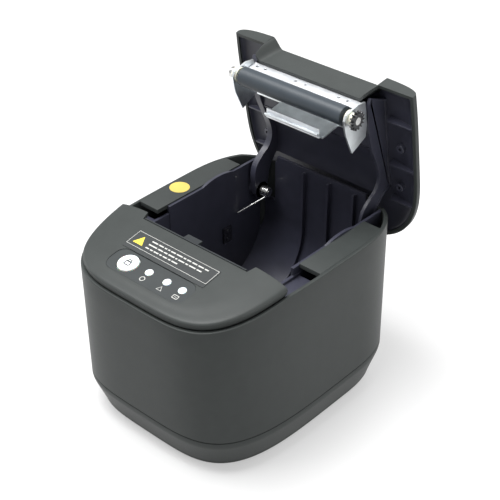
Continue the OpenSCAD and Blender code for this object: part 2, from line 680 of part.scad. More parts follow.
// the liner's side view with the lid closed: walls, arms and hinge eyes
module arm_shape() {
    polygon([[-29, 110], [-24, 107.4], [-12, 106.3], [2, 106.8], [14, 109.6], [28, 113.4], [38, 113.6],
        [43, 110], [45.5, 102], [50, 95.5], [58, 91.2], [68, 90.4], [73.5, 90.3], [79.4, 94.5],
        [79.3, 98], [76.5, 101.8], [70, 103.4], [62, 106.4], [54, 112.4], [50.5, 118],
        [49.5, liner_top], [-20, liner_top]]);
    translate([hinge_y, hinge_z]) circle(r = 6);
}
module lid_liner() color(liner_black) swing() {
    both() difference() {
        side(arm_x[0], arm_x[1]) arm_shape();
        // the arms are hollow between a skin and a rim, down to the hinge eye
        side(arm_x[0] + 1.6, arm_x[1] + 1) polygon([[-14, 109], [2, 109], [26, 116], [44, 115.5],
            [44, 122], [-14, 122]]);
        rod_x(pin_r + 0.05, 40, 60, hinge_y, hinge_z);
    }
    // round pan over the paper roll
    side(-arm_x[0] - 0.1, arm_x[0] + 0.1) intersection() {
        difference() {
            translate(bay_c) circle(r = 47.6, $fn = 96);
            translate(bay_c) circle(r = 45.6, $fn = 96);
        }
        polygon([[9, 90], [52, 90], [52, 140], [9, 140]]);
    }
    // roof over the platen bracket
    side(-arm_x[0] - 0.1, arm_x[0] + 0.1) polygon([[-21.5, 112.6], [-19.5, 110.8], [9, 109], [9, 111],
        [-19.5, 112.8], [-21.5, 114.6]]);
    // front and rear ends of the pan reach up to the lid's skin
    side(-arm_x[0] - 0.1, arm_x[0] + 0.1) polygon([[8.6, 107.4], [10.6, 109], [10.6, liner_top],
        [8.6, liner_top]]);
    side(-arm_x[0] - 0.1, arm_x[0] + 0.1) polygon([[47, 118], [49, 117.5], [49, liner_top],
        [47, liner_top]]);
}

// ---------- platen ----------
bracket_x = [44.9, 46.3];   // faces of the arrow-shaped side plates
module arrow_shape() {
    polygon([[-31, 99], [-30.4, 87], [-27, 84.6], [-20.5, 84.6], [-15.7, 85], [0, 89.4], [-4, 103.4],
        [-12, 105.6], [-29, 105.6]]);
}
module platen_bracket() color(steel) swing() {
    both() difference() {
        side(bracket_x[0], bracket_x[1]) arrow_shape();
        rod_x(4, 40, 60, platen_y, platen_z);
    }
    // top web, rear flange and the small lip at its foot
    span([-bracket_x[0], -25, 104.4], [bracket_x[0], -3, 105.6]);
    span([-24, -4.2, 88.2], [24, -3, 104.6]);
    side(-21.8, 21.8) polygon([[-7.4, 86.2], [-6.6, 85.4], [-3, 88.2], [-3, 89.6], [-4.2, 89.6]]);
}
strip_z = [99.2, 106.6];
screw_pairs = [-40.5, -33.5, -8, 0.2, 26.8, 33.8];
module guide_strip() color([0.86, 0.87, 0.88]) swing()
    difference() {
        union() {
            span([-44.6, -26.6, strip_z[0]], [44.6, -25.4, strip_z[1]]);
            span([-44.6, -25.5, 105.6], [44.6, -17, 106.6]);
        }
        for (x = screw_pairs) translate([x, -30, 103.4]) rotate([-90, 0, 0])
            cylinder(r = 0.9, h = 10, $fn = 24);
    }
module strip_screws() color(steel) swing()
    for (x = [-30, 30], y = [-20.5]) translate([x, y, 0]) {
        translate([0, 0, 106.6]) cylinder(r = 2.4, h = 1.2);
    }
module platen_bushes() color([0.80, 0.77, 0.70]) swing()
    both() difference() {
        union() {
            rod_x(4, bracket_x[0], 49, platen_y, platen_z);
            rod_x(5, bracket_x[0] - 1, bracket_x[0], platen_y, platen_z);
        }
        rod_x(2.55, 40, 60, platen_y, platen_z);
    }
module platen_shaft() color(steel) swing() {
    rod_x(2.5, -51.8, 51.8, platen_y, platen_z);
    // collar on the end away from the gear
    rod_x(3.6, -51.6, -49.3, platen_y, platen_z);
}
module platen_rubber() color([0.20, 0.22, 0.26]) swing()
    difference() {
        rod_x(roller_r, -roller_len / 2, roller_len / 2, platen_y, platen_z);
        rod_x(2.5, -60, 60, platen_y, platen_z);
    }
platen_n = 14;
module platen_gear() color([0.12, 0.12, 0.13]) swing()
    side(gear_x[0], gear_x[1]) translate([platen_y, platen_z]) difference() {
        gear(gear_m, platen_n);
        circle(r = 2.5);
    }

base_tray();
rubber_feet();
base_screws();
main_housing();
front_cover();
exit_trim();
control_panel();
feed_button();
light_pipes();
panel_board();
front_label();
blank_sticker();
paper_bay();
paper_sensor();
hinge_pins();
lid_spring();
mechanism_frame();
paper_guide();
thermal_head();
head_heat_sink();
head_springs();
feed_motor();
motor_pinion();
idler_gear();
idler_axle();
cutter_frame();
cutter_blade();
cutter_pinion();
cutter_motor();
main_board();
rear_panel();
power_inlet();
usb_port();
network_port();
drawer_port();
rocker_frame();
power_rocker();
lid_cover();
lid_liner();
platen_bracket();
guide_strip();
strip_screws();
platen_bushes();
platen_shaft();
platen_rubber();
platen_gear();
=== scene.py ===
"""A desktop receipt printer with its lid open: skins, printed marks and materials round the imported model.

Lengths are in millimetres up to the meshes themselves, which are in metres.
"""
import json
import math

import bmesh
import bpy
from mathutils import Matrix, Vector


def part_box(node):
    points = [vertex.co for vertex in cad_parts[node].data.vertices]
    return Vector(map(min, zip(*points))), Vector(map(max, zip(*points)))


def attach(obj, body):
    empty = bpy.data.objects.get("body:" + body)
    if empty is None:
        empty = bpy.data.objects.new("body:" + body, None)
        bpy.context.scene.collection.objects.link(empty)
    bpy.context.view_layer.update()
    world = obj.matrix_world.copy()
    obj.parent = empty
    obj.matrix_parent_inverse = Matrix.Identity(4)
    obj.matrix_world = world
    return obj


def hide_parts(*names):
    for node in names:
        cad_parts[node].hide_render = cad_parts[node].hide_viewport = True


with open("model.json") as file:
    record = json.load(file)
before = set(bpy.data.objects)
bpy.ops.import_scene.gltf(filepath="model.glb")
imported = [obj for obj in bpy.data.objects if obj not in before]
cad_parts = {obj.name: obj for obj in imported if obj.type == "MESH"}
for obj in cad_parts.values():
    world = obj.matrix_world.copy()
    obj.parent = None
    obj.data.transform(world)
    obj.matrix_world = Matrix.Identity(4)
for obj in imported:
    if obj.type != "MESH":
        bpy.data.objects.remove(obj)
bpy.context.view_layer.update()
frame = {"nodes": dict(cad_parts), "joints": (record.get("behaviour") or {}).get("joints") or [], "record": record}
MM = 0.001
NODES = frame["nodes"]
SLOT_OF = {part["node"]: part["material_slot"] for part in frame["record"]["subparts"]}
BODY_OF = {
    node: body for body, nodes in frame["record"]["behaviour"]["bodies"].items() for node in nodes
}
JOINT = {joint["name"]: joint for joint in frame["joints"]}


def box_mm(node):
    """Lowest and highest corner of a CAD node in millimetres."""
    low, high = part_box(node)
    return low / MM, high / MM


# ---------- camera, floor and light ----------
CAMERA_AT = Vector((436.3, -476.5, 536.0))
CAMERA_TARGET = Vector((-36.16, 51.2, 60.0))


def link(obj):
    bpy.context.scene.collection.objects.link(obj)
    return obj


def aim(obj, at, target):
    obj.location = at * MM
    obj.rotation_euler = (target - at).to_track_quat("-Z", "Y").to_euler()


def make_camera():
    data = bpy.data.cameras.new("camera")
    data.lens = 87.12
    data.sensor_width = 36
    camera = link(bpy.data.objects.new("camera", data))
    aim(camera, CAMERA_AT, CAMERA_TARGET)
    bpy.context.scene.camera = camera


def softbox(name, at, size, watts, tint=(1, 1, 1)):
    data = bpy.data.lights.new(name, "AREA")
    data.shape = "RECTANGLE"
    data.size, data.size_y = size
    data.energy = watts
    data.color = tint
    lamp = link(bpy.data.objects.new(name, data))
    aim(lamp, Vector(at), Vector((0, 0, 80)))


def make_studio():
    bpy.ops.mesh.primitive_plane_add(size=12, location=(0, 0, 0))
    floor = bpy.context.object
    floor.name = "floor"
    paint = bpy.data.materials.new("pale_floor")
    paint.use_nodes = True
    shader = paint.node_tree.nodes["Principled BSDF"]
    shader.inputs["Base Color"].default_value = (0.36, 0.36, 0.36, 1)
    shader.inputs["Roughness"].default_value = 0.9
    shader.inputs["Specular IOR Level"].default_value = 0.1
    shader.inputs["Emission Color"].default_value = (1, 1, 1, 1)
    shader.inputs["Emission Strength"].default_value = 0.42
    floor.data.materials.append(paint)
    world = bpy.data.worlds.new("studio")
    world.use_nodes = True
    world.node_tree.nodes["Background"].inputs["Color"].default_value = (1, 1, 1, 1)
    world.node_tree.nodes["Background"].inputs["Strength"].default_value = 0.55
    bpy.context.scene.world = world
    bpy.context.scene.view_settings.view_transform = "Standard"
    softbox("key", (-300, -200, 1300), (0.8, 0.8), 31)
    softbox("right_side", (1100, 100, 450), (0.5, 0.9), 4)
    softbox("left_side", (-1000, -300, 400), (0.5, 0.9), 4)
    softbox("back", (100, 900, 900), (1.2, 0.5), 8)


# ---------- materials ----------
MATERIALS = {}


def material(slot, color, rough, metallic=0.0, grain=(0, 0), mottle=0.12, brushed=None, bevel=0.0003,
             **shader_values):
    """A procedural finish: mottled colour, uneven gloss, a moulded or brushed grain and softened edges.

    grain is the size of the surface texture and its depth, in millimetres; brushed is the axis that
    the scratches run along.
    """
    mat = MATERIALS[slot] = bpy.data.materials.new("finish_" + slot)
    mat.use_nodes = True
    tree = mat.node_tree
    shader = tree.nodes["Principled BSDF"]

    def node(kind, **inputs):
        made = tree.nodes.new(kind)
        for key, value in inputs.items():
            made.inputs[key.replace("_", " ")].default_value = value
        return made

    def noise(size_mm, stretch=(1, 1, 1), detail=3.0):
        place = node("ShaderNodeMapping", Scale=stretch)
        tree.links.new(coordinates.outputs["Object"], place.inputs["Vector"])
        texture = node("ShaderNodeTexNoise", Scale=1 / (size_mm * MM), Detail=detail)
        tree.links.new(place.outputs["Vector"], texture.inputs["Vector"])
        return texture

    coordinates = tree.nodes.new("ShaderNodeTexCoord")
    stretch = [1, 1, 1]
    if brushed is not None:
        stretch[brushed] = 0.04
    clouds = noise(9)
    ramp = tree.nodes.new("ShaderNodeValToRGB")
    for stop, share, at in zip(ramp.color_ramp.elements, (1 - mottle, 1 + mottle), (0.3, 0.7)):
        stop.position = at
        stop.color = [min(1, c * share) for c in color] + [1]
    tree.links.new(clouds.outputs["Fac"], ramp.inputs["Fac"])
    tree.links.new(ramp.outputs["Color"], shader.inputs["Base Color"])
    fine = noise(grain[0] or 0.6, stretch)
    gloss = node("ShaderNodeMapRange")
    gloss.inputs["From Min"].default_value = 0.3
    gloss.inputs["From Max"].default_value = 0.7
    gloss.inputs["To Min"].default_value = rough * 0.88
    gloss.inputs["To Max"].default_value = min(1, rough * 1.12)
    tree.links.new(fine.outputs["Fac"], gloss.inputs["Value"])
    tree.links.new(gloss.outputs["Result"], shader.inputs["Roughness"])
    rounded = tree.nodes.new("ShaderNodeBevel")
    rounded.samples = 4
    rounded.inputs["Radius"].default_value = bevel
    bump = node("ShaderNodeBump", Strength=0.6, Distance=(grain[1] or 0.004) * MM)
    tree.links.new(fine.outputs["Fac"], bump.inputs["Height"])
    tree.links.new(rounded.outputs["Normal"], bump.inputs["Normal"])
    tree.links.new(bump.outputs["Normal"], shader.inputs["Normal"])
    shader.inputs["Metallic"].default_value = metallic
    for key, value in shader_values.items():
        shader.inputs[key.replace("_", " ")].default_value = value


def make_materials():
    material("case_plastic", (0.031, 0.035, 0.034), 0.44, grain=(0.45, 0.02), mottle=0.05,
             Specular_IOR_Level=0.2)
    material("trim_plastic", (0.024, 0.027, 0.029), 0.40, grain=(0.45, 0.015), mottle=0.05,
             Specular_IOR_Level=0.2)
    material("panel_plastic", (0.031, 0.035, 0.036), 0.43, grain=(0.4, 0.015), mottle=0.05,
             Specular_IOR_Level=0.2)
    material("liner_plastic", (0.030, 0.031, 0.046), 0.34, grain=(0.5, 0.006), mottle=0.1)
    material("foot_rubber", (0.02, 0.02, 0.02), 0.85, grain=(0.3, 0.03))
    material("plated_steel", (0.80, 0.84, 0.86), 0.34, 1.0, grain=(0.3, 0.002), brushed=0)
    material("strip_steel", (0.80, 0.82, 0.85), 0.42, 1.0, grain=(0.25, 0.002), brushed=0)
    material("blade_steel", (0.60, 0.61, 0.62), 0.28, 1.0, grain=(0.25, 0.002), brushed=1)
    material("bright_steel", (0.62, 0.62, 0.61), 0.22, 1.0, grain=(0.3, 0.001), brushed=0)
    material("port_shell", (0.62, 0.62, 0.61), 0.30, 1.0, grain=(0.3, 0.002), brushed=1)
    material("aluminium", (0.66, 0.67, 0.68), 0.35, 1.0, grain=(0.3, 0.003), brushed=0)
    material("motor_can", (0.20, 0.20, 0.21), 0.34, 0.9, grain=(0.3, 0.002), brushed=0)
    material("brass", (0.72, 0.53, 0.22), 0.28, 1.0, grain=(0.3, 0.002))
    material("white_plastic", (0.74, 0.75, 0.74), 0.25, mottle=0.02, Subsurface_Weight=0.15)
    material("board", (0.012, 0.085, 0.035), 0.35, grain=(1.2, 0.02), Coat_Weight=0.4)
    material("label", (0.029, 0.032, 0.033), 0.40, grain=(0.5, 0.004), mottle=0.04,
             Specular_IOR_Level=0.25)
    material("gold_sticker", (0.52, 0.40, 0.09), 0.40, 0.1, grain=(0.4, 0.004), mottle=0.06)
    material("sensor_plastic", (0.012, 0.012, 0.016), 0.25)
    material("ceramic", (0.62, 0.62, 0.56), 0.18, mottle=0.04, Coat_Weight=0.6)
    material("gear_plastic", (0.78, 0.77, 0.72), 0.38, mottle=0.03, Subsurface_Weight=0.1)
    material("port_plastic", (0.013, 0.013, 0.014), 0.4, grain=(0.4, 0.01))
    material("rocker_plastic", (0.010, 0.010, 0.011), 0.22)
    material("bush_plastic", (0.60, 0.57, 0.47), 0.42, mottle=0.04, Subsurface_Weight=0.1)
    material("platen_rubber", (0.026, 0.034, 0.042), 0.45, grain=(0.35, 0.012), mottle=0.06,
             Specular_IOR_Level=0.35)
    material("black_gear", (0.012, 0.012, 0.014), 0.30)
    material("white_ink", (0.42, 0.42, 0.40), 0.5, mottle=0.03)
    material("yellow_ink", (0.62, 0.50, 0.04), 0.5, mottle=0.03)
    material("grey_ink", (0.06, 0.06, 0.07), 0.5, mottle=0.03)


def paint_cad_nodes():
    for name, obj in NODES.items():
        obj.data.materials.clear()
        obj.data.materials.append(MATERIALS[SLOT_OF[name]])
        obj.data.polygons.foreach_set("material_index", [0] * len(obj.data.polygons))


# ---------- shaping ----------
def finish_mesh(name, bm, smooth_angle=34):
    """Makes an object of a bmesh drawn in millimetres, smooth but for its real edges."""
    bmesh.ops.remove_doubles(bm, verts=bm.verts, dist=0.002)
    bmesh.ops.dissolve_degenerate(bm, edges=bm.edges, dist=0.001)
    bmesh.ops.recalc_face_normals(bm, faces=bm.faces)
    bmesh.ops.scale(bm, vec=(MM, MM, MM), verts=bm.verts)
    mesh = bpy.data.meshes.new(name)
    bm.to_mesh(mesh)
    bm.free()
    soften(mesh, smooth_angle)
    return link(bpy.data.objects.new(name, mesh))


def soften(mesh, smooth_angle=34):
    mesh.polygons.foreach_set("use_smooth", [True] * len(mesh.polygons))
    mesh.set_sharp_from_angle(angle=math.radians(smooth_angle))


def skin_rings(bm, rings, loop=False, caps=(False, False)):
    """Faces between rings of points that all have the same count. loop joins the last to the first."""
    made = [[bm.verts.new(p) for p in ring] for ring in rings]
    count = len(made[0])
    pairs = list(zip(made, made[1:])) + ([(made[-1], made[0])] if loop else [])
    for low, high in pairs:
        for i in range(count):
            j = (i + 1) % count
            bm.faces.new((low[i], low[j], high[j], high[i]))
    if caps[0]:
        bm.faces.new(made[0][::-1])
    if caps[1]:
        bm.faces.new(made[-1])
    return made


def add_prism(bm, outline, place, z0, z1, edge=0.0):
    """An outline of (x, y) points raised from z0 to z1, with its top edge taken in by edge."""
    cx = sum(p[0] for p in outline) / len(outline)
    cy = sum(p[1] for p in outline) / len(outline)
    reach = max(max(abs(p[0] - cx), abs(p[1] - cy)) for p in outline)
    rings = []
    for inset, z in ((0, z0), (0, z1 - edge), (edge * 0.3, z1 - edge * 0.3), (edge, z1)):
        share = 1 - inset / reach
        rings.append([place @ Vector((cx + (x - cx) * share, cy + (y - cy) * share, z))
                      for x, y in outline])
    skin_rings(bm, rings if edge else [rings[0], rings[-1]], caps=(True, True))


def rounded_rectangle(w, d, r, steps=8):
    points = []
    for k, (sx, sy) in enumerate(((1, 1), (-1, 1), (-1, -1), (1, -1))):
        for i in range(steps + 1):
            a = math.radians(90 * (k + i / steps))
            points.append((sx * (w / 2 - r) + r * math.cos(a), sy * (d / 2 - r) + r * math.sin(a)))
    return points


def circle_points(r, steps=64, at=(0, 0)):
    return [(at[0] + r * math.cos(2 * math.pi * i / steps), at[1] + r * math.sin(2 * math.pi * i / steps))
            for i in range(steps)]


def lathe(bm, profile, place, steps=72):
    """A profile of (radius, height) points turned about place's Z axis."""
    rings = [[place @ Vector((x, y, z)) for x, y in circle_points(r, steps)] for r, z in profile]
    skin_rings(bm, rings, caps=(True, True))


def cut(obj, tool, operation="DIFFERENCE"):
    """A boolean of obj with tool, which is then removed."""
    step = obj.modifiers.new("cut", "BOOLEAN")
    step.operation = operation
    step.solver = "EXACT"
    step.object = tool
    graph = bpy.context.evaluated_depsgraph_get()
    mesh = bpy.data.meshes.new_from_object(obj.evaluated_get(graph))
    obj.modifiers.clear()
    obj.data = mesh
    bpy.data.objects.remove(tool)
    soften(mesh)


def join(obj, *others):
    """Adds the meshes of the others to obj."""
    bm = bmesh.new()
    bm.from_mesh(obj.data)
    for other in others:
        bm.from_mesh(other.data)
        bpy.data.objects.remove(other)
    bm.to_mesh(obj.data)
    bm.free()
    soften(obj.data)


def block(low, high, name="tool"):
    bm = bmesh.new()
    bmesh.ops.create_cube(bm, size=1)
    size = Vector(high) - Vector(low)
    bmesh.ops.scale(bm, vec=size, verts=bm.verts)
    bmesh.ops.translate(bm, vec=(Vector(low) + Vector(high)) / 2, verts=bm.verts)
    return finish_mesh(name, bm)


def prism_tool(outline, place, z0, z1):
    bm = bmesh.new()
    add_prism(bm, outline, place, z0, z1)
    return finish_mesh("tool", bm)


# extent of the blocks that cut everything away on one side of a plane
BESIDE, AHEAD, BEHIND, BELOW, ABOVE = 90, -120, 140, 60, 180


def cut_ahead(obj, y):
    cut(obj, block((-BESIDE, AHEAD, BELOW), (BESIDE, y, ABOVE)))


def cut_behind(obj, y):
    cut(obj, block((-BESIDE, y, BELOW), (BESIDE, BEHIND, ABOVE)))


def cut_below(obj, z):
    cut(obj, block((-BESIDE, AHEAD, BELOW), (BESIDE, BEHIND, z)))


def dress(obj, name, slot, body, *nodes, finish=None):
    """Names the piece, gives it its finish, and makes it ride on a body in place of CAD nodes."""
    obj.name = name
    obj.data.materials.clear()
    obj.data.materials.append(MATERIALS[finish or slot])
    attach(obj, body)
    if nodes:
        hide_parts(*nodes)
    return obj


# ---------- the case's outline ----------
HOUSING = box_mm("main_housing")
JOIN_Y = 27.4           # the widest line of the case
RIM_Z = HOUSING[1].z    # top edge of the housing behind the front cover
HALF_W = 73.2           # half width at that height
FRONT_REACH = JOIN_Y - HOUSING[0].y
REAR_REACH = 68.9
FRONT_POWER = 4.1
REAR_POWER = 2.74
DRAFT_X = 0.028         # the sides spread towards the bottom
DRAFT_Y = 0.034         # the front and rear draw in towards the bottom
WALL = 2.5
SEAM_Z = HOUSING[0].z   # bottom edge of the housing
DECK_Y = -35.0          # rear edge of the front cover
RIM_FALL = 0.135        # fall of the rim under the front cover
REAR_RIM_Y = 72.5       # the rim falls again behind the hinge
REAR_RIM_FALL = 0.2
ARM_NOTCH = (43.5, 51.5, 113.0)  # gaps in the rear rim for the lid's arms: from, to, height
ARM_NOTCH_FRONT = 76
AROUND = 256            # points round an outline
# rails beside the paper bay: side, front end, rear end
RAILS = ((-1, -19, 61), (1, -4.6, 60))
RAIL_X = 54             # their inner edge
RAIL_T = 3
RAIL_STEPS = 16


def outline_point(i, half_w, front, rear, count=AROUND):
    t = 2 * math.pi * i / count
    across, along = math.cos(t), math.sin(t)
    e = FRONT_POWER if along < 0 else REAR_POWER
    reach = front if along < 0 else rear
    return (half_w * math.copysign(abs(across) ** (2 / e), across),
            JOIN_Y + reach * math.copysign(abs(along) ** (2 / e), along))


def width_share(y):
    """Half width of the outline at y, as a share of its widest."""
    power, reach = (REAR_POWER, REAR_REACH) if y > JOIN_Y else (FRONT_POWER, FRONT_REACH)
    return (1 - abs((y - JOIN_Y) / reach) ** power) ** (1 / power)


def case_point(i, z, inset=0.0):
    drop = RIM_Z - z
    return outline_point(i, HALF_W + DRAFT_X * drop - inset, FRONT_REACH - DRAFT_Y * drop - inset,
                         REAR_REACH - DRAFT_Y * drop - inset)


def rim_height(y):
    if y < DECK_Y:
        return RIM_Z + RIM_FALL * (y - DECK_Y)
    return RIM_Z - REAR_RIM_FALL * max(0, y - REAR_RIM_Y)


def wall_ring(share, inset, lift=0.0):
    """One ring of the housing's wall: share 0 is the seam and 1 the rim."""
    ring = []
    for i in range(AROUND):
        top = rim_height(case_point(i, RIM_Z)[1])
        z = SEAM_Z + share * (top - SEAM_Z) + lift
        x, y = case_point(i, z, inset)
        ring.append((x, y, z))
    return ring


def flat_ring(z, inset):
    return [(*case_point(i, z, inset), z) for i in range(AROUND)]


def arc(r, start, end, steps=5):
    """(inset, height) steps along a rounded edge of radius r, in degrees: 0 is the wall, 90 the top."""
    for k in range(steps + 1):
        a = math.radians(start + (end - start) * k / steps)
        yield r * (1 - math.cos(a)), r * (math.sin(a) - 1)


RECESS_HALF, RECESS_Y = (box_mm("rear_panel")[1].x, box_mm("rear_panel")[1].y)
RECESS_LOW, RECESS_HIGH = box_mm("rear_panel")[0].z, box_mm("rear_panel")[1].z
RECESS_FRONT, RECESS_REAR = 74, 94


def recess_tool():
    middle = (RECESS_LOW + RECESS_HIGH) / 2
    upright = Matrix.Translation((0, RECESS_Y + 40, middle)) @ Matrix.Rotation(math.pi / 2, 4, "X")
    shape = rounded_rectangle(2 * RECESS_HALF, RECESS_HIGH - RECESS_LOW, 2.5)
    return prism_tool(shape, upright, 0, 40)


def make_housing():
    bm = bmesh.new()
    rings = [wall_ring(0, 0.35), wall_ring(0, 0.0, 0.35)]
    rings += [wall_ring(share, 0) for share in (0.2, 0.4, 0.6, 0.8)]
    rings += [wall_ring(1, inset, lift) for inset, lift in arc(0.9, 0, 90)]
    rings += [wall_ring(1, WALL - inset, lift) for inset, lift in arc(0.5, 90, 0)]
    rings += [wall_ring(share, WALL) for share in (0.7, 0.3, 0)]
    skin_rings(bm, rings, loop=True)
    housing = finish_mesh("housing", bm)
    cut(housing, recess_tool())
    near, far, floor_z = ARM_NOTCH
    for side_of in (-1, 1):
        x0, x1 = sorted((side_of * near, side_of * far))
        cut(housing, block((x0, ARM_NOTCH_FRONT, floor_z), (x1, 100, 130)))
    rails = bmesh.new()
    for side_of, front, rear in RAILS:
        outer = []
        for k in range(RAIL_STEPS + 1):
            y = front + (rear - front) * k / RAIL_STEPS
            outer.append((side_of * (HALF_W - WALL + 0.1) * width_share(y), y))
        shape = [(side_of * RAIL_X, front), *outer, (side_of * RAIL_X, rear)]
        add_prism(rails, shape[::side_of], Matrix(), RIM_Z - RAIL_T, RIM_Z, edge=0.25)
    join(housing, finish_mesh("rails", rails))
    shelf = 2               # thickness of the connector recess's roof
    sill = block((-RECESS_HALF - shelf, RECESS_FRONT, RECESS_HIGH),
                 (RECESS_HALF + shelf, RECESS_REAR, RECESS_HIGH + shelf), "sill")
    cut(sill, case_solid(0.6), "INTERSECT")
    cheeks = [block((x - 1, RECESS_FRONT, SEAM_Z), (x + 1, RECESS_REAR, RECESS_HIGH + 1), "cheek")
              for x in (-RECESS_HALF - 1, RECESS_HALF + 1)]
    for cheek in cheeks:
        cut(cheek, case_solid(0.6), "INTERSECT")
    join(housing, sill, *cheeks)
    dress(housing, "housing_skin", "case_plastic", BODY_OF["main_housing"], "main_housing")


def case_solid(inset, low=4.0, high=70.0):
    bm = bmesh.new()
    skin_rings(bm, [flat_ring(low, inset + (BASE_INSET if low < BASE_STEP_Z else 0)),
                    flat_ring(BASE_STEP_Z, inset), flat_ring(high, inset)], caps=(True, True))
    return finish_mesh("case_solid", bm)


# ---------- base ----------
BASE = box_mm("base_tray")
BASE_LOW = BASE[0].z
BASE_TOP = SEAM_Z - 0.3
BASE_STEP_Z = 22.0      # where the skirt starts to draw in
BASE_INSET = 6.6        # how far it has drawn in at its foot
FLOOR_T = 2.4
FEET = [(sx * 46, y) for sx in (-1, 1) for y in (-58, 66)]
BASE_SCREWS = [(sx * 58, y) for sx in (-1, 1) for y in (-34, 50)]


def skirt_inset(z):
    """How far the skirt has drawn in at a height, with a soft corner at the step."""
    depth = BASE_STEP_Z - z
    soft = 1.6
    slope = BASE_INSET / (BASE_STEP_Z - BASE_LOW)
    if depth < -soft:
        return 0.0
    if depth < soft:
        return slope * (depth + soft) ** 2 / (4 * soft)
    return slope * depth


def weld(obj):
    """Joins the shells of an object where their edges meet."""
    bm = bmesh.new()
    bm.from_mesh(obj.data)
    bmesh.ops.remove_doubles(bm, verts=bm.verts, dist=0.002 * MM)
    bmesh.ops.recalc_face_normals(bm, faces=bm.faces)
    bm.to_mesh(obj.data)
    bm.free()


def make_base():
    bm = bmesh.new()
    heights = [BASE_TOP - 0.6, 24, 23.2, 22.6, 22, 21.4, 20.8, 20, 17, 13, 9, 6, 4.4]
    rings = [flat_ring(BASE_TOP, WALL), flat_ring(BASE_TOP, 0.5), flat_ring(BASE_TOP - 0.15, 0.15)]
    rings += [flat_ring(z, skirt_inset(z)) for z in heights]
    rings += [flat_ring(BASE_LOW - lift, skirt_inset(4) + inset) for inset, lift in arc(1.4, 0, 90)]
    skin_rings(bm, rings, caps=(False, True))
    inner = bmesh.new()
    skin_rings(inner, [flat_ring(BASE_TOP, WALL), flat_ring(BASE_STEP_Z, WALL + 0.2),
                       flat_ring(BASE_LOW + FLOOR_T, BASE_INSET + WALL)], caps=(False, True))
    bowl = finish_mesh("bowl", inner)
    tray = finish_mesh("tray", bm)
    join(tray, bowl)
    weld(tray)
    cut(tray, recess_tool())
    for spots, radius, top in ((FEET, 8.1, 3.4), (BASE_SCREWS, 3.4, 3.2)):
        for x, y in spots:
            cut(tray, prism_tool(circle_points(radius, 48, (x, y)), Matrix(), 0, top))
    walls = [block((x - 1, 72, 5), (x + 1, 92, BASE_TOP), "wall")
             for x in (-RECESS_HALF - 1, RECESS_HALF + 1)]
    walls.append(block((-RECESS_HALF, 73.5, 5), (RECESS_HALF, 92, RECESS_LOW), "recess_floor"))
    for wall in walls:
        cut(wall, case_solid(0.8), "INTERSECT")
    join(tray, *walls)
    dress(tray, "base_skin", "case_plastic", BODY_OF["base_tray"], "base_tray")
    make_feet()


def make_feet():
    bm = bmesh.new()
    for x, y in FEET:
        lathe(bm, [(3.2, 0.5), (4.0, 0.12), (4.6, 0.0), (7.1, 0.0), (7.6, 0.15), (8.0, 0.8), (8.0, 3.4)],
              Matrix.Translation((x, y, 0)))
    dress(finish_mesh("feet", bm), "rubber_feet_soft", "foot_rubber", BODY_OF["rubber_feet"], "rubber_feet")


# ---------- front cover ----------
CROWN_Z = 126.64        # height of the cover's top at the paper exit
CROWN_SLOPE = 0.185
EXIT_Y = -41.0
EXIT_HALF = 44.0
# the shoulder, from the shadow gap up: how far in at the sides and at the front, height over the rim
# line at the rear edge, and slope
SHOULDER = ((2.0, 2.0, 0.9, 0.135), (1.5, 1.5, 4.2, 0.135), (2.9, 2.9, 5.8, 0.145), (8.5, 7.0, 7.2, 0.160),
            (17, 10, 8.5, 0.175), (26, 14, 9.2, 0.185))


def crown(y):
    return CROWN_Z + CROWN_SLOPE * (y - EXIT_Y)


def catmull(points, steps):
    """A smooth run through points of any size, steps between each pair."""
    padded = [points[0], *points, points[-1]]
    run = []
    for a, b, c, d in zip(padded, padded[1:], padded[2:], padded[3:]):
        for k in range(steps):
            t = k / steps
            run.append([0.5 * (2 * q + (r - p) * t + (2 * p - 5 * q + 4 * r - s) * t * t
                               + (3 * q - p - 3 * r + s) * t ** 3) for p, q, r, s in zip(a, b, c, d)])
    run.append(list(points[-1]))
    return run


def cover_ring(inset_x, inset_y, rise, tilt):
    ring = []
    for i in range(AROUND):
        x, y = case_point(i, RIM_Z)
        x *= 1 - inset_x / HALF_W
        y = JOIN_Y + (y - JOIN_Y) * (1 - inset_y / FRONT_REACH)
        ring.append((x, y, RIM_Z + rise + tilt * (y - DECK_Y)))
    return ring


def cover_solid(shrink):
    steps = [SHOULDER[0], *catmull(SHOULDER[1:], 5)]
    rings = [cover_ring(ix + shrink, iy + shrink, rise - shrink * (3 if k == 0 else 1), tilt)
             for k, (ix, iy, rise, tilt) in enumerate(steps)]
    bm = bmesh.new()
    skin_rings(bm, rings, caps=(True, True))
    return finish_mesh("cover", bm)


def on_deck(x, y, turn=0.0):
    return (Matrix.Translation((x, y, crown(y))) @ Matrix.Rotation(math.atan(CROWN_SLOPE), 4, "X")
            @ Matrix.Rotation(math.radians(turn), 4, "Z"))


PANEL_AT = (-3.0, -75.3)
PANEL_SIZE = (66.0, 19.0)
COVER_T = 2.4           # thickness of the front cover and of the lid


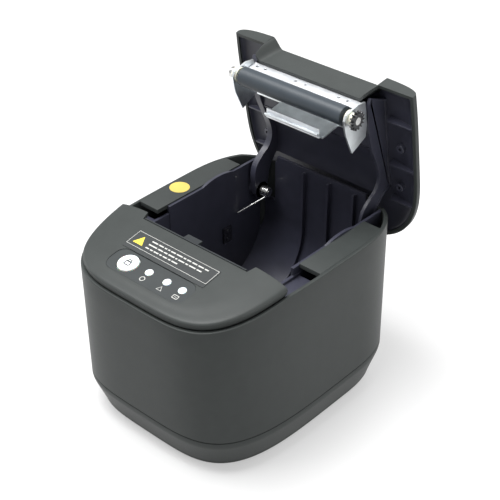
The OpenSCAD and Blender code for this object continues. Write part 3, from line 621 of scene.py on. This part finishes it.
def make_front_cover():
    cover = cover_solid(0)
    cut(cover, cover_solid(COVER_T))
    notch = [(-EXIT_HALF, EXIT_Y), (EXIT_HALF, EXIT_Y), (47, DECK_Y + 4), (-47, DECK_Y + 4)]
    cut(cover, prism_tool(notch, Matrix(), 100, 140))
    cut_behind(cover, DECK_Y)
    panel = on_deck(*PANEL_AT)
    cut(cover, prism_tool(rounded_rectangle(*PANEL_SIZE, 7), panel, -1.6, 4))
    cut(cover, prism_tool(rounded_rectangle(PANEL_SIZE[0] - 4, PANEL_SIZE[1] - 4, 5), panel, -7, 4))
    skirt = bmesh.new()
    rings = []
    for inset, lift in ((3.3, -3), (3.3, 2.2), (5.1, 2.2), (5.1, -3)):
        rings.append([(*case_point(i, RIM_Z, inset),
                       rim_height(min(DECK_Y, case_point(i, RIM_Z)[1])) + lift) for i in range(AROUND)])
    skin_rings(skirt, rings, loop=True)
    skirt = finish_mesh("skirt", skirt)
    cut_behind(skirt, DECK_Y)
    join(cover, skirt)
    dress(cover, "front_cover_skin", "case_plastic", BODY_OF["front_cover"], "front_cover")


# ---------- lid ----------
HINGE = Vector(JOINT["lid_hinge"]["pos_m"]) / MM
OPEN_ANGLE = math.radians(JOINT["lid_hinge"]["range_deg"][1])
SWING = Matrix.Translation(HINGE) @ Matrix.Rotation(-OPEN_ANGLE, 4, "X") @ Matrix.Translation(-HINGE)
LID_FRONT_Y = -33.8
LID_LOW = RIM_Z + 0.4
LID_TOP = 128.2
LID_EXIT_Y = -25.7
LID_EXIT_HALF = 39.5
WING_HALF = 46.7
# the crown: how far in from the edge, and how far below the top
LID_CROWN = ((0, 5.9), (2.2, 3.6), (8, 1.6), (17, 0.5), (29, 0))


def lid_solid(shrink):
    steps = catmull(LID_CROWN, 5)
    low = LID_LOW - (2 if shrink else 0)
    rings = []
    for inset, drop, z in [(0.35, 0, low), (0, 0, low + 0.35), *[(i, d, None) for i, d in steps]]:
        height = LID_TOP - shrink - drop if z is None else z
        rear = REAR_REACH - shrink - inset * 1.1
        rings.append([(*outline_point(i, HALF_W - shrink - inset, FRONT_REACH, rear), height)
                      for i in range(AROUND)])
    bm = bmesh.new()
    skin_rings(bm, rings, caps=(True, True))
    return finish_mesh("lid", bm)


def exit_shape():
    """The lid's edge at the paper exit: an S-curve from each wing to the straight middle."""
    steps = 10
    run = []
    for k in range(steps + 1):
        t = k / steps
        ease = t * t * (3 - 2 * t)
        run.append((WING_HALF - (WING_HALF - LID_EXIT_HALF) * t,
                    LID_FRONT_Y + (LID_EXIT_Y - LID_FRONT_Y) * ease))
    return [*run, *[(-x, y) for x, y in run[::-1]]]


WING_FOOT = 119.4       # lower edge of the lid's front wall at the wings
EXIT_FOOT = 106.6       # and along the middle of the paper exit
EXIT_LEAN = 3.4         # how far the wall leans forward at its foot
LINING_OUT, LINING_IN = 2.3, 2.8    # depth of the lining's faces under the lid's skin


def exit_gap():
    return [(WING_HALF, -60), *exit_shape(), (-WING_HALF, -60)]


def make_lid():
    lid = lid_solid(0)
    cut_ahead(lid, LID_FRONT_Y)
    hollow = lid_solid(COVER_T)
    cut_ahead(hollow, LID_FRONT_Y + 2.2)
    cut(lid, hollow)
    cut(lid, prism_tool(exit_gap(), Matrix(), 100, 140))
    wall = bmesh.new()
    rings = []
    for x, y in exit_shape():
        share = min(1, max(0, (WING_HALF - abs(x)) / (WING_HALF - LID_EXIT_HALF)))
        foot = WING_FOOT + (EXIT_FOOT - WING_FOOT) * min(1, 3 * share)
        lean = EXIT_LEAN * share
        rings.append([(x, y, LID_TOP - 0.5), (x, y - lean, foot), (x, y - lean + 2.1, foot),
                      (x, y + 2.6, LID_TOP - 1.2)])
    skin_rings(wall, rings, caps=(True, True))
    join(lid, finish_mesh("wall", wall))
    swing(lid)
    dress(lid, "lid_skin", "case_plastic", BODY_OF["lid_cover"], "lid_cover")


def make_lining():
    """The dark inside of the lid, with the ribs and bosses in the pockets beside the arms."""
    lining = lid_solid(LINING_OUT)
    cut(lining, lid_solid(LINING_IN))
    cut_ahead(lining, LID_FRONT_Y + 2.2)
    cut_below(lining, LID_LOW + 1.2)
    gap = [(x * 1.03, y + (3 if abs(y) < 50 else 0)) for x, y in exit_gap()]
    cut(lining, prism_tool(gap, Matrix(), 100, 140))
    join(lining, make_ribs())
    swing(lining)
    dress(lining, "lid_lining", "liner_plastic", BODY_OF["lid_liner"])


def swing(obj):
    """Moves a piece drawn with the lid closed to where it is with the lid open."""
    obj.data.transform(Matrix.Scale(MM, 4) @ SWING @ Matrix.Scale(1 / MM, 4))


def make_ribs():
    ribs = bmesh.new()
    for side_of in (-1, 1):
        for y in (-8, 26, 55):
            edge = HALF_W * width_share(y) - 1.8
            shape = [(49.6, WING_FOOT + 2.5), (51.5, WING_FOOT), (edge - 0.4, WING_FOOT), (edge, 124.6),
                     (49.6, 125)]
            upright = Matrix.Translation((0, y + 0.6, 0)) @ Matrix.Rotation(math.pi / 2, 4, "X")
            add_prism(ribs, [(side_of * px, pz) for px, pz in shape][::side_of], upright, 0, 1.2)
        for x, y in ((59, 12), (57, 44)):
            lathe(ribs, [(2.9, 125.9), (2.9, 121.2), (2.6, 120.9), (1.3, 120.9), (1.3, 122.4)],
                  Matrix.Translation((side_of * x, y, 0)))
    return finish_mesh("ribs", ribs)


ARM_X = (45.0, 49.5)
ARM_RIM = 1.5           # width of the raised edge round each arm's hollow outer face
ARM_SKIN = 1.6
ROLL_AXIS = (37.0, 73.0)
PAN_R = (45.6, 47.6)
PAN_Y = (9, 52)         # front and rear ends of the pan over the paper roll
PAN_STEPS = 24
LINER_TOP = 125.3
HINGE_EYE = 6.0
# the arm from the front, along its lower edge, round the hinge and back to the lid's skin
ARM_EDGE = ((-29, 110), (-24, 107.4), (-12, 106.3), (2, 106.8), (14, 109.6), (28, 113.4), (37, 113.3),
            (43, 109.4), (46.5, 102.5), (51.5, 95.2), (59, 91.6), (67, 90.6), (74, 90.4), (78.6, 93.1),
            (79.4, 97.6), (76.3, 101.5), (69.5, 103.6), (61.5, 107), (54.6, 112.6), (50.6, 118.6),
            (49.5, LINER_TOP))


def sideways(side_of):
    """Places a drawing in (y, z) so that its height runs outwards along X."""
    return Matrix(((0, 0, side_of, 0), (1, 0, 0, 0), (0, 1, 0, 0), (0, 0, 0, 1)))


def shrink_outline(points, by):
    """A closed outline drawn in by a distance."""
    area = sum(a[0] * b[1] - b[0] * a[1] for a, b in zip(points, points[1:] + points[:1]))
    turn = 1 if area > 0 else -1
    made = []
    for before, (x, y), after in zip(points[-1:] + points[:-1], points, points[1:] + points[:1]):
        along = Vector((after[0] - before[0], after[1] - before[1])).normalized()
        made.append((x - turn * along.y * by, y + turn * along.x * by))
    return made


def make_liner():
    outline = [tuple(p) for p in catmull(ARM_EDGE, 5)] + [(-20, LINER_TOP)]
    inner = shrink_outline(outline, ARM_RIM)
    arms = bmesh.new()
    for side_of in (-1, 1):
        place = sideways(side_of)
        rim_x = ARM_X[1] if side_of < 0 else ARM_X[0] + 2.2
        steps = (outline, ARM_X[0]), (outline, rim_x), (inner, rim_x), (inner, ARM_X[0] + ARM_SKIN)
        rings = [[place @ Vector((y, z, x)) for y, z in shape] for shape, x in steps]
        skin_rings(arms, rings, caps=(True, True))
        add_prism(arms, circle_points(HINGE_EYE, 48, (HINGE.y, HINGE.z)), place, *ARM_X, edge=0.4)
    liner = finish_mesh("arms", arms)
    width = ARM_X[0] + 0.1
    pan = bmesh.new()
    start, end = [math.acos((y - ROLL_AXIS[0]) / PAN_R[0]) for y in PAN_Y]
    turns = [start + (end - start) * k / PAN_STEPS for k in range(PAN_STEPS + 1)]
    arcs = [[(ROLL_AXIS[0] + r * math.cos(a), ROLL_AXIS[1] + r * math.sin(a)) for a in turns] for r in PAN_R]
    shapes = [arcs[0] + arcs[1][::-1],
              [(-21.5, 112.6), (-19.5, 110.8), (9, 109), (9, 111), (-19.5, 112.8), (-21.5, 114.6)],
              [(8.6, 108.4), (10.6, 109.4), (10.6, LINER_TOP), (8.6, LINER_TOP)],
              [(50, 117.2), (52, 116.4), (52, LINER_TOP), (50, LINER_TOP)]]
    for shape in shapes:
        add_prism(pan, shape, sideways(1), -width, width)
    join(liner, finish_mesh("pan", pan))
    swing(liner)
    dress(liner, "lid_liner_skin", "liner_plastic", BODY_OF["lid_liner"], "lid_liner")


def make_lip():
    """The bright lip folded up at the foot of the platen bracket's rear flange."""
    bm = bmesh.new()
    shape = [(-3.4, 87.0), (-3.0, 88.4), (-4.2, 88.6), (-9.4, 89.5), (-9.6, 88.3), (-4.4, 87.3)]
    add_prism(bm, shape, sideways(1), -21.8, 21.8)
    lip = finish_mesh("lip", bm)
    swing(lip)
    dress(lip, "bracket_lip", "plated_steel", BODY_OF["platen_bracket"], finish="strip_steel")


# ---------- controls and printed marks ----------
LAMPS_X = (-5.0, 10.0, 22.8)
LAMP_Y = PANEL_AT[1] + 1.2
BUTTON_X = -22.0
INK_T = 0.06            # thickness of the printed film
PANEL_FACE = -0.36      # height of the panel's face over the deck


def make_controls():
    bm = bmesh.new()
    place = on_deck(BUTTON_X, PANEL_AT[1])
    lathe(bm, [(6.3, -4.1), (8.0, -4.1), (8.0, -3.1), (7.0, -3.0), (7.0, -0.1), (6.9, 0.2), (6.6, 0.42),
               (6.1, 0.5), (3.5, 0.42), (0.3, 0.38)], place)
    button = finish_mesh("button", bm)
    dress(button, "feed_button_cap", "white_plastic", BODY_OF["feed_button"], "feed_button")
    lamps = bmesh.new()
    lens = [(1.8, -5.6), (1.8, -2.2), (2.7, -2.1), (2.7, -0.1), (2.6, 0.12), (2.2, 0.26), (0.2, 0.34)]
    for x in LAMPS_X:
        lathe(lamps, lens, on_deck(x, LAMP_Y))
    dress(finish_mesh("lamps", lamps), "lamp_lenses", "white_plastic", BODY_OF["light_pipes"], "light_pipes")
    icon = bmesh.new()
    for shape, width, y in (((4.8, 3.8, 0.6), 0.75, -0.5), ((3.0, 2.4, 0.4), 0.65, 1.7)):
        add_frame(icon, rounded_rectangle(*shape), width, place @ Matrix.Translation((0, y, 0)), 0.40, 0.50)
    dress(finish_mesh("icon", icon), "button_icon", "label", BODY_OF["feed_button"], finish="grey_ink")
    marks = bmesh.new()
    ink = PANEL_FACE, PANEL_FACE + INK_T
    places = [on_deck(x, LAMP_Y - 6.0) for x in LAMPS_X]
    shapes = circle_points(1.9, 32), [(-2.1, -1.6), (2.1, -1.6), (0, 2.1)], rounded_rectangle(4.4, 3.2, 0.8)
    for shape, width, at in zip(shapes, (0.5, 0.6, 0.5), places):
        add_frame(marks, shape, width, at, *ink)
    add_prism(marks, [(-0.9, -0.2), (0.9, -0.2), (0.9, 0.2), (-0.9, 0.2)], places[2], *ink)
    dress(finish_mesh("marks", marks), "panel_marks", "label", BODY_OF["control_panel"], finish="white_ink")


def add_frame(bm, outline, width, place, z0, z1):
    """A raised line of one width that follows an outline."""
    cx = sum(p[0] for p in outline) / len(outline)
    cy = sum(p[1] for p in outline) / len(outline)

    def scaled(share_x, share_y, z):
        return [place @ Vector((cx + (x - cx) * share_x, cy + (y - cy) * share_y, z)) for x, y in outline]

    sx = 1 - width / max(abs(p[0] - cx) for p in outline)
    sy = 1 - width / max(abs(p[1] - cy) for p in outline)
    skin_rings(bm, [scaled(1, 1, z0), scaled(1, 1, z1), scaled(sx, sy, z1), scaled(sx, sy, z0)], loop=True)


LABEL_AT = (-3.0, -56.5)
LABEL_SIZE = (69.0, 13.8)
# lengths of the plain dashes in each line of the label
DASHES = ((5, 4, 2, 1.6, 4, 5, 2, 3.4, 4, 4.6, 3), (7, 4.2, 3, 5, 1.6, 5, 2.2, 5.4, 4),
          (3, 2.4, 4, 2, 3.6, 2, 5))


LABEL_FACE = 0.22       # height of the label's face over the deck
DASH_START, DASH_GAP, DASH_HALF = -20.0, 0.9, 0.5
LINE_SPACING = 3.1


def make_label():
    place = on_deck(*LABEL_AT)
    film = place, LABEL_FACE, LABEL_FACE + INK_T
    ink = bmesh.new()
    border = rounded_rectangle(LABEL_SIZE[0] - 1.2, LABEL_SIZE[1] - 1.2, 0.5)
    add_frame(ink, border, 0.34, *film)
    for row, dashes in enumerate(DASHES):
        x = DASH_START
        low, high = (LINE_SPACING - LINE_SPACING * row + d for d in (-DASH_HALF, DASH_HALF))
        for length in dashes:
            add_prism(ink, [(x, low), (x + length, low), (x + length, high), (x, high)], *film)
            x += length + DASH_GAP
    dress(finish_mesh("ink", ink), "label_lines", "label", BODY_OF["front_label"], finish="white_ink")
    sign = bmesh.new()
    add_prism(sign, [(-31.0, -3.6), (-22.8, -3.6), (-26.9, 3.6)], *film)
    dress(finish_mesh("sign", sign), "label_triangle", "label", BODY_OF["front_label"], finish="yellow_ink")


make_camera()
make_studio()
make_materials()
paint_cad_nodes()
make_housing()
make_base()
make_front_cover()
make_lid()
make_lining()
make_liner()
make_lip()
make_controls()
make_label()
